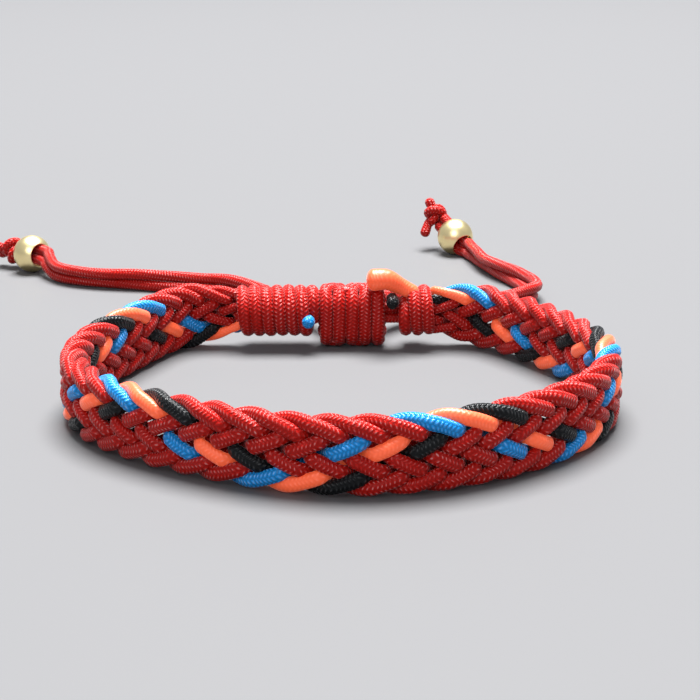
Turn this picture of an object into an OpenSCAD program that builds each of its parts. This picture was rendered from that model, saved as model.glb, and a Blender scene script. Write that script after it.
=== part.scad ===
// Friendship bracelet: a flat plait of nine cords, closed at the back by two
// whipped ends and a sliding knot, with two loose tails that carry beads.
// The bracelet lies on its lower edge. +Z is up, the front faces -Y, the
// closure is at the back, and the origin is under the middle of the loop.

/* [Loop] */
// Mean radius of the loop, from its middle to the band's centre line
loop_r = 29; // [27:0.5:33]
// Distance from the loop's middle to the straight closure
closure_y = 21.3; // [20:0.1:23]

/* [Plait] */
// Diameter of one braided cord
cord_d = 1.5; // [1.4:0.05:1.6]
// Angle between the plaited cords and the length of the band
lay_angle = 22.9; // [21:0.1:24]
// Length of band from its front to the place where the blue cord is highest
blue_top_len = 6.8; // [-16:0.1:16]
// Length by which the plait is drawn out to the right of its front
drawn_len = 1.1; // [0:0.1:1.5]
// Way over which the plait narrows into each whipped end
gather_len = 6; // [4:0.5:9]

/* [Closure] */
// Turns of cord in the left whipped end
left_turns = 7; // [5:1:8]
// Turns of cord in the right whipped end
right_turns = 3; // [3:1:5]
// Diameter of the whipped ends
whip_d = 6.4; // [6.2:0.1:7]
// Height of the whipped ends' middle above the surface
whip_z = 4.6; // [4.2:0.1:5]
// Length of the sliding knot along the band
knot_len = 8.1; // [7.8:0.1:9.5]
// Height of the sliding knot
knot_h = 7.9; // [7.6:0.1:8.6]
// Thickness of the sliding knot, from inside to outside
knot_t = 6.2; // [6:0.1:7]
// Number of bars tied round the sliding knot
knot_bars = 5; // [4:1:6]
// Way from the middle of the back to the knot's middle, towards the right
knot_x = 1.4; // [0:0.1:2.5]
// Way that the sliding knot's middle stands outside the band's centre line
knot_out = 0.5; // [0.3:0.05:0.8]
// Diameter of the two tie cords squeezed together
tie_d = 2.4; // [2:0.1:2.5]
// Way that the tie cords reach into the sliding knot
tie_in_knot = 3; // [2:0.1:3.5]
// Way that the tie cords reach into the whipped ends
tie_in_whip = 2; // [1.5:0.1:3]

/* [Beads] */
// Diameter of the beads
bead_d = 5.4; // [5.2:0.1:6]
// Room between a tail and the hole through its bead, on each side
bead_room = 0.1; // [0.075:0.025:0.25]
// Diameter of the knots that end the tails
end_knot_d = 4; // [3.6:0.1:4.4]
// Length of the knots that end the tails
end_knot_len = 3.3; // [2.8:0.1:3.5]

/* [Hidden] */
$fn = 48;

RED = [0.75, 0.08, 0.1];
BLUE = [0.1, 0.5, 0.85];
ORANGE = [1, 0.45, 0.2];
BLACK = [0.06, 0.07, 0.07];
GOLD = [0.85, 0.66, 0.3];

// Gap left between pieces that the real bracelet presses together
fit = 0.05;

// The loop isn't a true circle. Each row is a wave added to its radius:
// [waves round the loop, share in line with the front, share across it]
LOBES = [[2, 0.039, 0.028], [3, -0.047, -0.004], [4, 0.02, 0.013], [5, 0.009, 0]];
// Length over which the round loop turns into the straight closure
turn_len = 1.5;
// Angle between the points that measure the loop
loop_step = 1;

function total(v, i = 0) = i == len(v) ? 0 : v[i] + total(v, i + 1);
function lobes(a) = total([for (w = LOBES) w[1] * cos(w[0] * a) + w[2] * sin(w[0] * a)]);
function pressed(y) = y - turn_len * ln(1 + exp((y - closure_y) / turn_len));
function round_point(a) = loop_r * (1 + lobes(a)) * [sin(a), -cos(a)];
function loop_point(a) = let (p = round_point(a)) [p.x, pressed(p.y)];

// Arc length from the front against the angle, right round the loop
ARC = [for (a = 0, s = 0; a <= 360; a = a + loop_step,
            s = s + norm(loop_point(a) - loop_point(a - loop_step))) [s, a]];
loop_len = ARC[len(ARC) - 1][0];
LOOP = [for (row = ARC) loop_point(row[1])];

// Cord spacing and the plait that follows from it
cords = 9;
cord_spacing = 0.942 * cord_d;
pitch = cords * cord_spacing / sin(lay_angle);
rise = cords * cord_spacing / (2 * cos(lay_angle));
layer_out = 0.587 * cord_d;
plump_r = 0.46 * cord_d;
slim_r = 0.34 * cord_d;
strand_sides = 6;
// Roundness of the turns at the band's edges, as a share of half its width
edge_round = 0.25;
band_t = 2 * (layer_out + plump_r);

// A cord crosses the other eight and turns at an edge in each half pitch, so
// half a pitch is nine crossings long. Each row of the stations along it is
// [place in crossings, share of the way out from the middle layer, plumpness]
STATIONS = [
    [0.4, 0.6, 0.8], [1, 1, 1], [2.05, 1, 0], [2.95, -1, 0], [3.5, -1, 1], [4.05, -1, 0],
    [4.95, 1, 0], [5.5, 1, 1], [6.05, 1, 0], [6.95, -1, 0], [8, -1, 1], [8.6, -0.6, 0.8]
];
// The same way out at any place, with the table's ends carried round
OUT = [for (turn = [-cords, 0, cords]) for (row = STATIONS) [row[0] + turn, row[1]]];
function way_out(v) = lookup(v - cords * floor(v / cords), OUT);
function station_r(plumpness) = slim_r + (plump_r - slim_r) * plumpness;

// The band stands on the cords that turn at its lower edge
edge_row = STATIONS[0];
band_z = cord_height(edge_row[0]) * rise / 2 + station_r(edge_row[2]) * cos(180 / strand_sides) + fit / 2;

// The origin is under the middle of the band and its closure
MIDDLE = [
    (max([for (p = LOOP) p.x]) + min([for (p = LOOP) p.x])) / 2,
    (closure_y + knot_out + knot_t / 2 + min([for (p = LOOP) p.y]) - band_t / 2) / 2
];
back_y = closure_y - MIDDLE.y;
knot_at = [knot_x - MIDDLE.x, back_y + knot_out, knot_h / 2];

// Whipped ends: turns of cord a little closer than their diameter
turn_pitch = 0.96 * cord_d;
function whip_len(turns) = (turns - 1) * turn_pitch + cord_d;
// Room on each side of the black cord's end, which lies on the tie in the gap
// beside the sliding knot
stub_room = 0.125;
knot_gap = cord_d + 2 * stub_room;
left_whip_x = knot_at.x - knot_len / 2 - 2 * fit - whip_len(left_turns) / 2;
right_whip_x = knot_at.x + knot_len / 2 + knot_gap + whip_len(right_turns) / 2;
left_end_x = left_whip_x - whip_len(left_turns) / 2 - 2 * fit;
right_end_x = right_whip_x + whip_len(right_turns) / 2 + 2 * fit;

// Arc length at a place along the back, for the loop's angles behind
back_from = 120;
BACK = [
    for (row = ARC)
        if (row[1] > back_from && row[1] < 360 - back_from) [MIDDLE.x - loop_point(row[1]).x, row[0]]
];
function back_arc(x) = lookup(-x, BACK);
plait_from = back_arc(left_end_x) - loop_len;
plait_to = back_arc(right_end_x);

// In a gather the plait is as high as the whipped end's core. Its layers stand
// further apart and its cords are thinner, by these shares.
end_rise = whip_d - cord_d + fit;
gather_out = 0.25;
gather_thin = 0.35;
// Way that a strand's ends keep from its next station, in crossings
end_room = 0.3;

function wrapped(s) = s < 0 ? s + loop_len : s;
function loop_angle(s) = lookup(wrapped(s), ARC);
function loop_dir(a) = let (d = loop_point(a + loop_step) - loop_point(a - loop_step)) d / norm(d);

// How far the plait has narrowed, from 0 along the band to 1 at a whipped end
function gathered(s) =
    let (t = max(0, 1 - min(s - plait_from, plait_to - s) / gather_len)) t * t * (3 - 2 * t);

// Height in the plait from -1 to 1, for a place in crossings
function cord_height(v) =
    let (
        m = v - cords * floor(v / cords),
        x = 2 * min(m, cords - m) / cords,
        h = 1 - (sqrt(x * x + edge_round * edge_round) - edge_round)
            / (sqrt(1 + edge_round * edge_round) - edge_round),
        turn = v / (2 * cords) - floor(v / (2 * cords)),
        upper = turn < 0.25 || turn >= 0.75
    ) upper ? h : -h;

// Centre of a cord at an arc length, for its place and its way out
function cord_point(s, v, out) =
    let (
        a = loop_angle(s),
        d = loop_dir(a),
        g = gathered(s),
        z = cord_height(v) * (rise * (1 - g) + end_rise * g) / 2,
        n = out * layer_out * (1 + gather_out * g),
        p = loop_point(a) - MIDDLE
    ) [p.x + n * d.y, p.y - n * d.x, z + band_z * (1 - g) + whip_z * g];

// The plait isn't quite even: near its front it is moved along the band by
// this much, most of all at the reach to each side of the still place
still_len = -7;
drawn_reach = 15;
function drawn(s) = let (t = (s - still_len) / drawn_reach) drawn_len * t / (1 + t * t);

// Place of cord k, in crossings, at an arc length, and the other way round
function place(s, k) = 2 * cords * (s - drawn(s - drawn(s)) - blue_top_len) / pitch - 2 * k;
function arc_length(v, k) = let (s = blue_top_len + (v + 2 * k) / (2 * cords) * pitch) s + drawn(s);

// Rows of a strand: [arc length, place, way out, radius]
function strand_rows(k) =
    let (
        start = place(plait_from, k),
        stop = place(plait_to, k),
        inner = [
            for (half = [floor(start / cords) : floor(stop / cords)])
                for (row = STATIONS)
                    let (v = row[0] + cords * half)
                        if (v > start + end_room && v < stop - end_room) [v, row[1], row[2]]
        ],
        all = concat([[start, way_out(start), 0]], inner, [[stop, way_out(stop), 0]])
    ) [
        for (row = all)
            let (s = arc_length(row[0], k))
                [s, row[0], row[1], station_r(row[2]) * (1 - gather_thin * gathered(s))]
    ];

function unit(v) = v / norm(v);

// One ring of points round a path, with its first point outwards or upwards
function ring(p, along, towards, r, sides) =
    let (e = unit(towards - along * (towards * along)), f = cross(along, e))
        [for (i = [0 : sides - 1]) p + r * (cos(360 * i / sides) * e + sin(360 * i / sides) * f)];

// Moves a ring along its path until it lies in the plane across X at x
function on_plane(points, along, x) = [for (p = points) p + along * ((x - p.x) / along.x)];

function side_faces(rings, sides) = [
    for (j = [0 : rings - 2]) for (i = [0 : sides - 1])
        let (a = j * sides + i, b = j * sides + (i + 1) % sides)
            each [[a, b, b + sides], [a, b + sides, a + sides]]
];
function end_faces(rings, sides) = [
    for (i = [1 : sides - 2]) each [
        [0, i + 1, i],
        [(rings - 1) * sides, (rings - 1) * sides + i, (rings - 1) * sides + i + 1]
    ]
];

// A closed tube through rings of points that have as many points each
module tube(rings) {
    sides = len(rings[0]);
    polyhedron(
        points = [for (r = rings) each r],
        faces = [for (f = concat(side_faces(len(rings), sides), end_faces(len(rings), sides)))
                 [f[2], f[1], f[0]]],
        convexity = 10
    );
}

module strand(k) {
    rows = strand_rows(k);
    last = len(rows) - 1;
    path = [for (row = rows) cord_point(row[0], row[1], row[2])];
    tube([
        for (i = [0 : last])
            let (
                along = unit(path[min(i + 1, last)] - path[max(i - 1, 0)]),
                d = loop_dir(loop_angle(rows[i][0])),
                points = ring(path[i], along, [d.y, -d.x, 0], rows[i][3], strand_sides)
            )
                i == 0 ? on_plane(points, along, left_end_x)
                : i == last ? on_plane(points, along, right_end_x)
                : points
    ]);
}

module strand_blue() {
    color(BLUE) strand(0);
}

module strand_orange() {
    color(ORANGE) strand(1);
}

module strand_black() {
    color(BLACK) strand(2);
}

module strand_red(number) {
    color(RED) strand(2 + number);
}

// Turns of cord side by side round the X axis, from its middle, on a core
// that fills the grooves between them by this much
groove_fill = 0.3;

module whipping(turns) {
    long = whip_len(turns);
    r = (whip_d - cord_d) / 2;
    rotate([0, 90, 0])
        translate([0, 0, -long / 2])
            rotate_extrude() {
                translate([0, 2 * fit]) square([r + groove_fill, long - 4 * fit]);
                intersection() {
                    for (i = [0 : turns - 1]) translate([r, cord_d / 2 + i * turn_pitch]) circle(d = cord_d);
                    square([whip_d, long]);
                }
            }
}

// A round rod from a to b
module rod(a, b, d) {
    v = b - a;
    translate(a)
        rotate([0, acos(v.z / norm(v)), atan2(v.y, v.x)])
            cylinder(h = norm(v), d = d);
}

// The tie cords run in a line a little inside and above the knot's middle
tie_in = 0.9;
tie_up = 0.4;
tie_y = knot_at.y - tie_in;
tie_z = knot_at.z + tie_up;
knot_left_x = knot_at.x - knot_len / 2;
knot_right_x = knot_at.x + knot_len / 2;
TIE_LEFT = [
    [knot_left_x - 2 * fit - tie_in_whip, tie_y, tie_z],
    [knot_left_x + tie_in_knot, tie_y, tie_z]
];
TIE_RIGHT = [
    [knot_right_x - tie_in_knot, tie_y, tie_z],
    [knot_right_x + knot_gap + tie_in_whip, tie_y, tie_z]
];

module tie(ends, clear = 0) {
    slide = [clear, 0, 0];
    rod(ends[0] - slide, ends[1] + slide, tie_d + 2 * clear);
}

// Cut ends of the coloured cords, each from its root to its rounded tip. Blue
// stands out of the left whipped end on its inner side, black lies on the tie
// in the gap beside the sliding knot, and orange lies over that gap on the top.
stub_out = 0.9;
blue_back = 1.2;
blue_down = 0.65;
blue_x = left_whip_x + whip_len(left_turns) / 2 - blue_back;
BLUE_STUB = [
    [blue_x, tie_y - tie_d / 2 - 2 * fit, whip_z - blue_down],
    [blue_x, back_y - whip_d / 2 - stub_out + cord_d / 2, whip_z - blue_down]
];
black_x = knot_right_x + knot_gap / 2;
black_up = (tie_d + cord_d) / 2 + fit;
BLACK_STUB = [
    [black_x, tie_y, tie_z + black_up],
    [black_x, back_y - whip_d / 2 - stub_out + cord_d / 2, tie_z + black_up]
];
orange_tip_d = 3;
orange_root = 1.5;
orange_over = 1.2;
// At the root and at the tip: way in from the middle, and way above the top
// of the black end
orange_in = [0.9, 1.4];
orange_rise = [0.1, 1.6];
black_top = tie_z + black_up + cord_d / 2;
ORANGE_STUB = [
    [knot_right_x + knot_gap + orange_root, back_y - orange_in[0], black_top + orange_rise[0]],
    [knot_right_x - orange_over, back_y - orange_in[1], black_top + orange_rise[1]]
];

module stub(ends, tip_d, clear = 0) {
    v = ends[1] - ends[0];
    long = norm(v);
    translate(ends[0])
        rotate([0, acos(v.z / long), atan2(v.y, v.x)])
            rotate_extrude()
                intersection() {
                    union() {
                        translate([0, -clear]) square([cord_d / 2 + clear, long + clear]);
                        translate([0, long]) circle(d = tip_d + 2 * clear);
                    }
                    translate([0, -clear]) square([tip_d, long + tip_d + clear]);
                }
}

module stub_blue() {
    color(BLUE) stub(BLUE_STUB, cord_d);
}

module stub_orange() {
    color(ORANGE) stub(ORANGE_STUB, orange_tip_d);
}

module stub_black() {
    color(BLACK) stub(BLACK_STUB, cord_d);
}

module whipping_left() {
    color(RED) difference() {
        translate([left_whip_x, back_y, whip_z]) whipping(left_turns);
        tie(TIE_LEFT, fit);
        stub(BLUE_STUB, cord_d, fit);
    }
}

module whipping_right() {
    color(RED) difference() {
        translate([right_whip_x, back_y, whip_z]) whipping(right_turns);
        tie(TIE_RIGHT, fit);
        stub(ORANGE_STUB, cord_d, fit);
    }
}

// The sliding knot's bars swell and lean one way and then the other. Its
// section is a square with round corners, and its ends are a little smaller.
knot_sides = 20;
knot_square = 2.4;
bar_rings = 4;
bar_swell = 0.1;
bar_lean = 0.3;
end_taper = 0.16;
taper_power = 6;

function knot_ring(t) =
    let (
        edge = pow(abs(2 * t - 1), taper_power),
        size = 1 - end_taper * edge - bar_swell * (1 + cos(360 * knot_bars * t)) / 2,
        lean = bar_lean * cos(180 * knot_bars * t) * (1 - edge)
    ) [
        for (i = [0 : knot_sides - 1])
            let (
                c = cos(360 * i / knot_sides),
                s = sin(360 * i / knot_sides),
                fullness = pow(pow(abs(c), knot_square) + pow(abs(s), knot_square), -1 / knot_square)
            ) knot_at + [
                (t - 0.5) * knot_len + lean * s * sign(c),
                size * fullness * c * knot_t / 2,
                size * fullness * s * knot_h / 2
            ]
    ];

module sliding_knot() {
    steps = knot_bars * bar_rings;
    color(RED) difference() {
        tube([for (j = [0 : steps]) knot_ring(j / steps)]);
        tie(TIE_LEFT, fit);
        tie(TIE_RIGHT, fit);
        stub(ORANGE_STUB, orange_tip_d, fit);
        tail_socket(TAIL_LEFT);
        tail_socket(TAIL_RIGHT);
    }
}

module tie_left() {
    color(RED) tie(TIE_LEFT);
}

module tie_right() {
    color(RED) tie(TIE_RIGHT);
}

// Each tail is two cords laid together. Its route runs from inside the
// sliding knot to the floor, and through its bead to its end knot. The left
// one ends almost level, so its last points follow its bead's height.
tail_d = 2 * cord_d;
tail_sides = 8;
bead_bore = tail_d + 2 * bead_room;
TAIL_LEFT = [
    [-0.3, 26.5, 4.3], [-1.2, 28.3, 4.3], [-2.1, 30.3, 4.1], [-3.5, 32.7, 3.6], [-5.3, 35.2, 2.7],
    [-7.1, 38.1, 1.9], [-8.6, 41.3, 1.5], [-10.3, 44.7, 1.5], [-12.7, 47.7, 1.5], [-16.1, 49.8, 1.5],
    [-20.2, 51, 1.5], [-24.8, 52.1, 1.5], [-29.4, 53.2, 1.5], [-33.4, 54.2, 1.5], [-36.6, 55.2, 1.5],
    [-39.3, 56.6, 1.55], [-41.3, 58.4, 1.85], [-42.7, 60.6, 2.4],
    [-43.56, 62.52, bead_d / 2 + 0.09], [-47.49, 66.14, bead_d / 2 - 0.07]
];
TAIL_RIGHT = [
    [2.9, 26.5, 4.3], [3.8, 28.3, 4.3], [4.8, 30.3, 4.1], [6.4, 32.6, 3.6], [8.7, 34.7, 2.7],
    [11.6, 36.3, 1.9], [15, 37.5, 1.5], [18.5, 38.6, 1.5], [21.7, 40.2, 1.5], [24.4, 42.6, 1.5],
    [26.2, 45.8, 1.5], [26.1, 49.4, 1.5], [25.1, 52.6, 1.5], [23.8, 55.5, 1.5], [22.5, 58.4, 1.5],
    [21.4, 61.5, 1.5], [20.5, 64.8, 1.5], [19.8, 68.2, 1.5], [19.2, 71, 1.5], [18.61, 73.12, 1.47],
    [15.26, 77.91, 4.37]
];

module tail(route) {
    last = len(route) - 1;
    tube([
        for (i = [0 : last])
            let (along = unit(route[min(i + 1, last)] - route[max(i - 1, 0)]))
                ring(route[i], along, [0, 0, 1], tail_d / 2, tail_sides)
    ]);
}

module tail_socket(route) {
    along = unit(route[1] - route[0]);
    rod(route[0] - fit * along, route[0] + knot_t / 2 * along, tail_d + 2 * fit);
}

// The end of a tail's route, where the bead sits on the floor round it
function route_end(route) = route[len(route) - 1];
function end_dir(route) = unit(route_end(route) - route[len(route) - 2]);
function bead_at(route) =
    let (e = route_end(route), d = end_dir(route)) e - d * ((e.z - bead_d / 2) / d.z);

module bead(route) {
    b = bead_at(route);
    d = end_dir(route);
    color(GOLD)
        translate(b) rotate([0, acos(d.z), atan2(d.y, d.x)])
            rotate_extrude()
                difference() {
                    circle(d = bead_d);
                    translate([-bead_d, -bead_d]) square([bead_d + bead_bore / 2, 2 * bead_d]);
                }
}

module end_knot(route) {
    d = end_dir(route);
    a = route_end(route) + fit * d;
    color(RED) intersection() {
        translate(a + d * end_knot_len / 2) sphere(d = end_knot_d);
        rod(a, a + d * end_knot_len, 2 * end_knot_d);
    }
}

module tail_left() {
    color(RED) tail(TAIL_LEFT);
}

module tail_right() {
    color(RED) tail(TAIL_RIGHT);
}

module bead_left() {
    bead(TAIL_LEFT);
}

module bead_right() {
    bead(TAIL_RIGHT);
}

module end_knot_left() {
    end_knot(TAIL_LEFT);
}

module end_knot_right() {
    end_knot(TAIL_RIGHT);
}

strand_blue();
strand_orange();
strand_black();
strand_red(1);  // strand_red_1
strand_red(2);  // strand_red_2
strand_red(3);  // strand_red_3
strand_red(4);  // strand_red_4
strand_red(5);  // strand_red_5
strand_red(6);  // strand_red_6
whipping_left();
whipping_right();
sliding_knot();
tie_left();
tie_right();
stub_blue();
stub_orange();
stub_black();
tail_left();
tail_right();
bead_left();
bead_right();
end_knot_left();
end_knot_right();
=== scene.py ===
"""Friendship bracelet: a flat plait of nine braided cords, closed at the back by
two whipped ends and a sliding knot, with loose tails that carry gold beads."""

import math

import bpy
import numpy as np
from mathutils import Matrix, Vector


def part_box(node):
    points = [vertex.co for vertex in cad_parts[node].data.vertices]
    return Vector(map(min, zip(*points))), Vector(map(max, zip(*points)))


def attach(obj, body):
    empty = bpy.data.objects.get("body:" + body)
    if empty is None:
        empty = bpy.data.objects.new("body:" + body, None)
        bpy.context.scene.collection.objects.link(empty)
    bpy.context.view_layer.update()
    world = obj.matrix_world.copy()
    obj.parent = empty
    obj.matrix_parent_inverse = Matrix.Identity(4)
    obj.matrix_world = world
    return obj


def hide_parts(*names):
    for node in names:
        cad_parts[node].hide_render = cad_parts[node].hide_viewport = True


bl_info = {
    "name": "Friendship Bracelet",
    "version": (1, 0, 0),
    "blender": (4, 5, 0),
    "location": "View3D > Sidebar > Bracelet",
    "description": "Plaited cord bracelet with whipped ends, a sliding knot and gold beads",
    "category": "Add Mesh",
}

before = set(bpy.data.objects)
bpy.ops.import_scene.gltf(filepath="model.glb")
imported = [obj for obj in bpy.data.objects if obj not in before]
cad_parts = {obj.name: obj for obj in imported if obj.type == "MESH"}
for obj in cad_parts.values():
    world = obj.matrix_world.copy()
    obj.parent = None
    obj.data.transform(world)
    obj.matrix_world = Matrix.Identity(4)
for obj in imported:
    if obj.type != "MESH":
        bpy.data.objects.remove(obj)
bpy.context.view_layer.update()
MM = 0.001


def node_corners(node):
    """The lowest and the highest corner of a CAD node's box."""
    low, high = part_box(node)
    return np.array(low), np.array(high)


def node_middle(node):
    """The middle of a CAD node's box."""
    low, high = node_corners(node)
    return (low + high) / 2


def node_size(node):
    """The three sides of a CAD node's box."""
    low, high = node_corners(node)
    return high - low


# Waves added to the loop's radius: waves round the loop, share in line with
# the front, share across it
LOOP_WAVES = np.array([[2, 0.039, 0.028], [3, -0.047, -0.004], [4, 0.02, 0.013], [5, 0.009, 0]])

# Cords of the plait, the way from one to the next as a share of a cord's
# diameter, and the plait's height as a share of one whose edges aren't pressed in
CORDS = 9
CORD_SPACING = 0.942
PRESSED_IN = 0.945

# Room between the floor and the lowest plaited cords
FLOOR_ROOM = 0.04 * MM

# The plait is drawn out round a still place, over a reach to both sides
DRAWN_FROM = -7 * MM
DRAWN_REACH = 15 * MM

# What a cord does on its way into a whipped end, as shares: its layer moves
# out, it thins, and over its tucked length it drops towards the middle
GATHER_OUT = 0.25
GATHER_THIN = 0.3
TUCK_DROP = 0.5

# Wavelengths of a plaited cord's strays in depth, height and thickness, and the
# shares of the first and the last
DEPTH_WAVE, HEIGHT_WAVE, SWELL_WAVE = 9 * MM, 11 * MM, 5 * MM
DEPTH_SHARE, SWELL_SHARE = 0.4, 0.05

# The sheath's columns round a cord, how many yarns they are shifted along it to
# one side or the other, and a yarn's height at its column's edge
SHEATH_COLUMNS = 8
COLUMN_SHIFT = 0.25
COLUMN_EDGE = 0.2

# Filaments across a yarn, and how far noise frays them
FILAMENTS = 4.0
FRAY = 0.45

# Relief of the orange cord's smoother sheath, as a share of the others'
SMOOTH_RELIEF = 0.4

# Straight cords inside the whipped ends and the knot: radius as a share of a
# cord's diameter, and sides of the mesh
CORE_RADIUS = 0.55
CORE_SIDES = 16

# Directions: upwards, and one that no cut end and no bead's axis follows
UP = np.array([0, 0, 1])
ASKEW = np.array([0.3, 0.2, 1])

# A cord's way from the inner layer, -1, to the outer layer, 1, over half a
# pitch, which has as many crossings as the plait has cords: place, way out
WAY_OUT = np.array(
    [[1, 0.8], [2.05, 1], [2.95, -1], [4.05, -1], [4.95, 1], [6.05, 1], [6.95, -1], [8, -0.8]]
)

# A cord's plumpness over half a pitch, 0 where it is pinched between others:
# place, plumpness
PLUMPNESS = np.array(
    [[0, 0.9], [1, 1], [2.3, 0], [2.7, 0], [3.5, 1], [4.3, 0], [4.7, 0], [5.5, 1], [6.3, 0], [6.7, 0],
     [8, 1]]
)

# Points of a knotting cord as shares of the way between bars, the knot's depth
# and its height: its start, one bar, the way over to the next bar, and its end
KNOT_START = np.array([[0, 0.02, 0.55], [0, 0.38, 0.95]])
KNOT_BAR = np.array([[0, 0.8, 0.74], [0, 1, 0.34], [0, 1, -0.34], [0, 0.8, -0.74]])
KNOT_OVER = np.array([[-0.02, 0.3, -1], [0.34, -0.28, -1], [0.66, -0.28, -1], [1.02, 0.3, -1]])
KNOT_END = np.array([[0, 0.38, -0.95], [0, 0.02, -0.55]])

# How the cords' finishes differ: a groove's share of the colour, which paints shade
# into the grooves; how far the painted highlights on the yarns' crests turn white;
# roughness, depth of bump, glow, sheen and gloss
CORD_LOOKS = {
    "Red Cord": dict(groove=0.72, wear_and_highlight_amount=0.22, rough=0.26, bump=0.07 * MM, glow=0, sheen=0.28, gloss=0.14),
    "Blue Cord": dict(groove=0.6, wear_and_highlight_amount=0.25, rough=0.26, bump=0.07 * MM, glow=0, sheen=0.4, gloss=0.28),
    "Orange Cord": dict(groove=0.9, wear_and_highlight_amount=0.1, rough=0.4, bump=0.02 * MM, glow=0.22, sheen=0.55, gloss=0.4),
    "Black Cord": dict(groove=0.6, wear_and_highlight_amount=0.06, rough=0.26, bump=0.07 * MM, glow=0, sheen=0.15, gloss=0.14),
}

# Radius of the beads' bores, and the way between the tails' points
BEAD_BORE = 1.6 * MM
TAIL_STEP = 0.12 * MM

# The tails' routes in millimetres, from inside the sliding knot to the end knot
TAIL_LEFT = [
    (-0.3, 26.5, 4.3), (-1.2, 28.3, 4.3), (-2.1, 30.3, 4.1), (-3.5, 32.7, 3.6), (-5.3, 35.2, 2.7),
    (-7.1, 38.1, 1.9), (-8.6, 41.3, 1.5), (-10.3, 44.7, 1.5), (-12.7, 47.7, 1.5), (-16.1, 49.8, 1.5),
    (-20.2, 51, 1.5), (-24.8, 52.1, 1.5), (-29.4, 53.2, 1.5), (-33.4, 54.2, 1.5), (-36.6, 55.2, 1.5),
    (-39.3, 56.6, 1.55), (-41.3, 58.4, 1.85), (-42.7, 60.6, 2.4), (-43.56, 62.52, 2.79),
    (-47.49, 66.14, 2.63),
]
TAIL_RIGHT = [
    (2.9, 26.5, 4.3), (3.8, 28.3, 4.3), (4.8, 30.3, 4.1), (6.4, 32.6, 3.6), (8.7, 34.7, 2.7),
    (11.6, 36.3, 1.9), (15, 37.5, 1.5), (18.5, 38.6, 1.5), (21.7, 40.2, 1.5), (24.4, 42.6, 1.5),
    (26.2, 45.8, 1.5), (26.1, 49.4, 1.5), (25.1, 52.6, 1.5), (23.8, 55.5, 1.5), (22.5, 58.4, 1.5),
    (21.4, 61.5, 1.5), (20.5, 64.8, 1.5), (19.8, 68.2, 1.5), (19.2, 71, 1.5), (18.61, 73.12, 1.47),
    (15.26, 77.91, 4.37),
]

# Ways of each end knot's two cut tips from its middle, in millimetres
KNOT_TIPS = {
    "left": [(-2.9, 0.2, 0.6), (-2.3, 1.5, -0.7)],
    "right": [(-1.7, -1.6, -2.3), (-0.9, 1.2, 1.9)],
}


def length(name, default, description):
    """A length property whose default is given in millimetres."""
    return bpy.props.FloatProperty(
        name=name, description=description, default=default * MM, unit="LENGTH", precision=5
    )


def degrees(name, default, description):
    """An angle property whose default is given in degrees."""
    return bpy.props.FloatProperty(
        name=name, description=description, default=math.radians(default), subtype="ANGLE"
    )


def plain_number(name, default, description):
    """A plain number property."""
    return bpy.props.FloatProperty(name=name, description=description, default=default)


def colour(name, default, description):
    """A colour property, in linear light."""
    return bpy.props.FloatVectorProperty(
        name=name, description=description, default=default, subtype="COLOR", size=3, min=0, max=1
    )


class BandSizes(bpy.types.PropertyGroup):
    """Sizes of the loop and of the plait that runs round it."""

    loop_radius: length("Loop Radius", 29, "Mean radius of the loop")
    closure_distance: length("Closure Distance", 21.3, "From the loop's middle to the straight closure")
    turn_length: length("Turn Length", 1.5, "Length over which the loop turns into the closure")
    cord: length("Cord", 1.5, "Diameter of one braided cord")
    lay_angle: degrees("Lay Angle", 22.9, "Angle between the plaited cords and the band")
    blue_top: length("Blue Top", 6.8, "Way from the front to the place where the blue cord is highest")
    drawn: length("Drawn", 1.1, "Way by which the plait is drawn out to the right of its front")
    gather: length("Gather", 6, "Way over which the plait narrows into each whipped end")
    layer: length("Layer", 0.88, "Way of a cord out of the band's middle layer")
    wide: length("Wide", 0.75, "Half the width of a plump cord, along the band's face")
    deep: length("Deep", 0.66, "Half the depth of a plump cord, across the band's face")
    pinched_wide: length("Pinched Wide", 0.74, "Half the width of a pinched cord")
    pinched_deep: length("Pinched Deep", 0.5, "Half the depth of a pinched cord")
    unevenness: length("Unevenness", 0.06, "How far a cord strays from its even way")


class SheathSizes(bpy.types.PropertyGroup):
    """Sizes of the fine braid that every cord is covered with."""

    yarn: length("Yarn", 0.42, "Distance between neighbouring yarns along a cord")
    relief: length("Relief", 0.05, "Height of the yarns over the grooves between them")
    slant: plain_number("Slant", 0.6, "Way that a yarn moves along the cord in its column, in yarns")
    twist: length("Twist", 70, "Length in which the sheath turns once round its cord")


class CordColours(bpy.types.PropertyGroup):
    """Colours of the cords and of the beads."""

    red: colour("Red", (0.4, 0.006, 0.003), "Main cord")
    blue: colour("Blue", (0.002, 0.25, 0.68), "Blue cord")
    orange: colour("Orange", (0.94, 0.125, 0.043), "Orange cord")
    black: colour("Black", (0.006, 0.007, 0.008), "Black cord")
    gold: colour("Gold", (1.0, 0.83, 0.44), "Beads")


class StageSizes(bpy.types.PropertyGroup):
    """Camera and lights."""

    lens: plain_number("Lens", 85.04, "Focal length in millimetres on a 36 mm sensor")
    camera_x: length("Camera X", 0.997, "Camera's place to the right")
    camera_y: length("Camera Y", -173.16, "Camera's place towards the back")
    camera_z: length("Camera Z", 57.31, "Camera's height above the floor")
    pitch: degrees("Pitch", 16.315, "Angle that the camera looks down")
    roll: degrees("Roll", -0.205, "Angle that the camera leans")
    floor: colour("Floor", (0.115, 0.115, 0.118), "Colour of the floor")


def ease(t):
    """Smooth step: 3t squared minus 2t cubed, for t held between 0 and 1."""
    t = np.clip(t, 0, 1)
    return t * t * (3 - 2 * t)


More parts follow.
